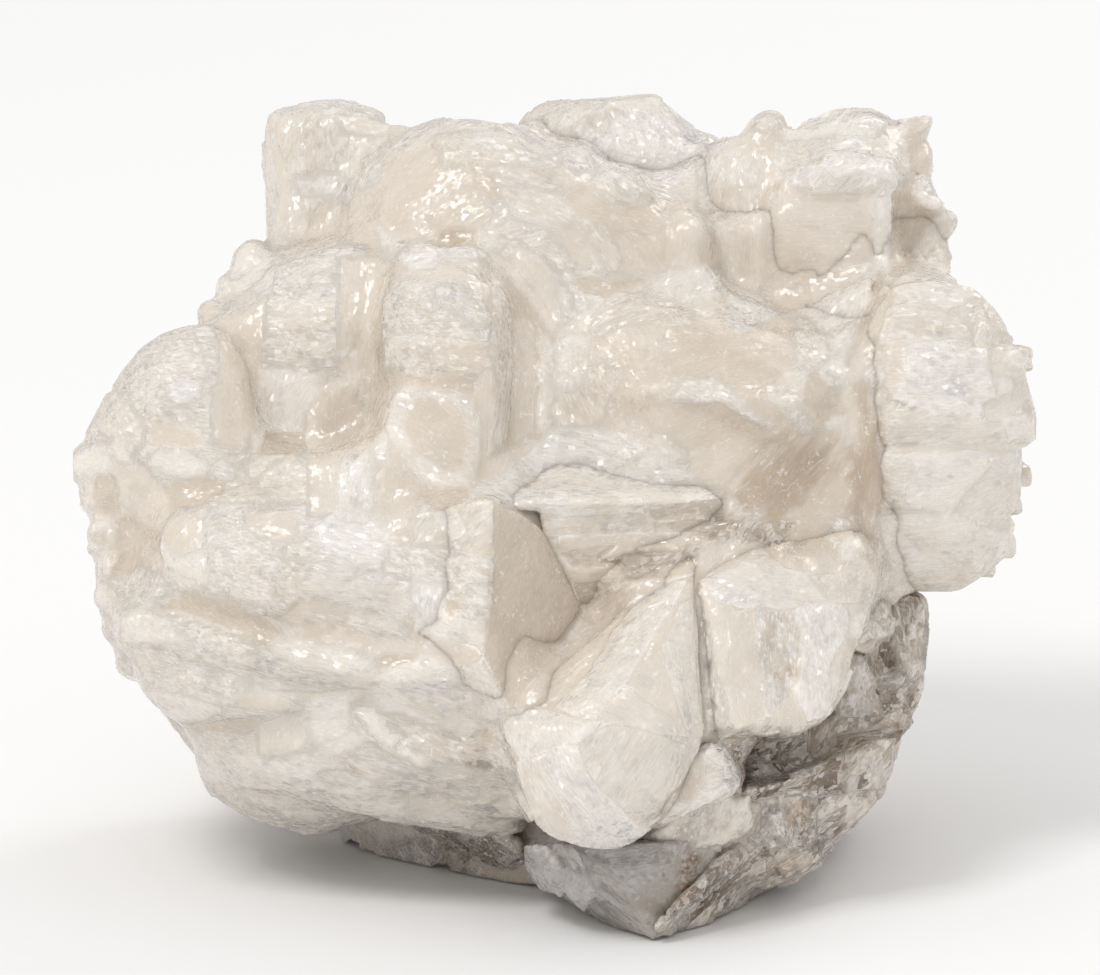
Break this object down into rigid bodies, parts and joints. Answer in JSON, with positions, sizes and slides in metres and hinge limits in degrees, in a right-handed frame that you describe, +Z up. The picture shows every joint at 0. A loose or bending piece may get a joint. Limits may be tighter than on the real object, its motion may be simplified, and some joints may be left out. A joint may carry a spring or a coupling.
{
  "type": "quartz specimen",
  "caption": "Natural cluster of blocky and tabular milky white crystals over a smoky glassy foot, cut flat to stand.",
  "frame": {"origin": "middle of the cluster's outline seen from above, on the plane of the flat cut that it rests on", "axes": "+Z up, +X to the right along the longest side, +Y to the far side"},
  "size_m": [0.1392, 0.1076, 0.1087],
  "materials": {
    "milky_crystal": "satin"
  },
  "bodies": {
    "root": {"quartz_cluster": "milky_crystal"}
  },
  "joints": []
}
